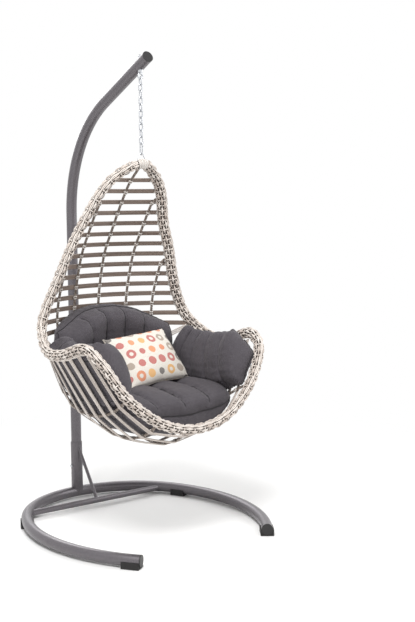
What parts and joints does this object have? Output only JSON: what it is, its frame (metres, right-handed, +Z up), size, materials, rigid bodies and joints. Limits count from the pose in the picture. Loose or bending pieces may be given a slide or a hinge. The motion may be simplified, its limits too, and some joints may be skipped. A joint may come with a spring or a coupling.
{
  "type": "object",
  "caption": "Hanging egg chair: a woven basket of ribs and slats with grey cushions, hung on a short chain from a curved steel mast on an open oval base",
  "frame": {"origin": "on the floor, under the middle of the chair's overall width and depth", "axes": "+X to the right of someone who looks at the open side, -Y the way the open side faces, +Z up"},
  "size_m": [0.9918, 1.06, 2],
  "materials": {
    "steel": "satin",
    "plug": "matte",
    "rubber": "matte",
    "zinc": "satin",
    "weave": "matte",
    "strip": "matte",
    "cloth": "matte",
    "pillow": "matte"
  },
  "bodies": {
    "stand": {"base_ring": "steel", "cross_bar": "steel", "strut": "steel", "post_socket": "steel", "mast": "steel", "mast_cap": "plug", "end_plugs": "plug", "foot_pads": "rubber", "socket_bolt": "zinc", "socket_nut": "zinc", "eye_bolt": "zinc", "eye_nut": "zinc", "eye_washers": "zinc"},
    "link_01_body": {"link_01": "zinc"},
    "link_02_body": {"link_02": "zinc"},
    "link_03_body": {"link_03": "zinc"},
    "link_04_body": {"link_04": "zinc"},
    "link_05_body": {"link_05": "zinc"},
    "link_06_body": {"link_06": "zinc"},
    "link_07_body": {"link_07": "zinc"},
    "link_08_body": {"link_08": "zinc"},
    "link_09_body": {"link_09": "zinc"},
    "link_10_body": {"link_10": "zinc"},
    "snap_hook_body": {"snap_hook": "zinc", "gate_pin": "zinc"},
    "gate_body": {"hook_gate": "zinc"},
    "basket": {"hanger_loop": "zinc", "hanger_binding": "weave", "rim_core": "steel", "rim_weave": "weave", "rib_left_outer": "weave", "rib_left_inner": "weave", "rib_middle": "weave", "rib_right_inner": "weave", "rib_right_outer": "weave", "slat_01": "strip", "slat_02": "strip", "slat_03": "strip", "slat_04": "strip", "slat_05": "strip", "slat_06": "strip", "slat_07": "strip", "slat_08": "strip", "slat_09": "strip", "slat_10": "strip", "slat_11": "strip", "slat_12": "strip", "slat_13": "strip", "slat_14": "strip", "slat_15": "strip", "strips_16_17": "strip", "strips_18_19": "strip", "strips_20_21": "strip", "strips_22_23": "strip", "strips_24_25": "strip", "seat_cushion": "cloth", "back_cushion": "cloth", "arm_cushion_left": "cloth", "arm_cushion_right": "cloth", "throw_pillow": "pillow"}
  },
  "joints": [
    {"name": "swing", "type": "hinge", "parent": "stand", "child": "link_01_body", "pos_m": [0, -0.08422, 1.89396], "axis": [1, 0, 0], "range_deg": [-12, 5]},
    {"name": "sway", "type": "hinge", "parent": "link_01_body", "child": "link_02_body", "pos_m": [0, -0.08422, 1.86816], "axis": [0, 1, 0], "range_deg": [-8, 8]},
    {"name": "twist_01", "type": "hinge", "parent": "link_02_body", "child": "link_03_body", "pos_m": [0, -0.08422, 1.84451], "axis": [0, 0, 1], "range_deg": [-10, 10]},
    {"name": "twist_02", "type": "hinge", "parent": "link_03_body", "child": "link_04_body", "pos_m": [0, -0.08422, 1.81771], "axis": [0, 0, 1], "range_deg": [-10, 10]},
    {"name": "twist_03", "type": "hinge", "parent": "link_04_body", "child": "link_05_body", "pos_m": [0, -0.08422, 1.79091], "axis": [0, 0, 1], "range_deg": [-10, 10]},
    {"name": "twist_04", "type": "hinge", "parent": "link_05_body", "child": "link_06_body", "pos_m": [0, -0.08422, 1.76411], "axis": [0, 0, 1], "range_deg": [-10, 10]},
    {"name": "twist_05", "type": "hinge", "parent": "link_06_body", "child": "link_07_body", "pos_m": [0, -0.08422, 1.73731], "axis": [0, 0, 1], "range_deg": [-10, 10]},
    {"name": "twist_06", "type": "hinge", "parent": "link_07_body", "child": "link_08_body", "pos_m": [0, -0.08422, 1.71051], "axis": [0, 0, 1], "range_deg": [-10, 10]},
    {"name": "twist_07", "type": "hinge", "parent": "link_08_body", "child": "link_09_body", "pos_m": [0, -0.08422, 1.68371], "axis": [0, 0, 1], "range_deg": [-10, 10]},
    {"name": "twist_08", "type": "hinge", "parent": "link_09_body", "child": "link_10_body", "pos_m": [0, -0.08422, 1.65691], "axis": [0, 0, 1], "range_deg": [-10, 10]},
    {"name": "twist_09", "type": "hinge", "parent": "link_10_body", "child": "snap_hook_body", "pos_m": [0, -0.08422, 1.63011], "axis": [0, 0, 1], "range_deg": [-10, 10]},
    {"name": "basket_pitch", "type": "hinge", "parent": "snap_hook_body", "child": "basket", "pos_m": [0, -0.08422, 1.59056], "axis": [1, 0, 0], "range_deg": [-6, 4]},
    {"name": "gate", "type": "hinge", "parent": "snap_hook_body", "child": "gate_body", "pos_m": [0, -0.09222, 1.61786], "axis": [1, 0, 0], "range_deg": [0, 18]}
  ]
}
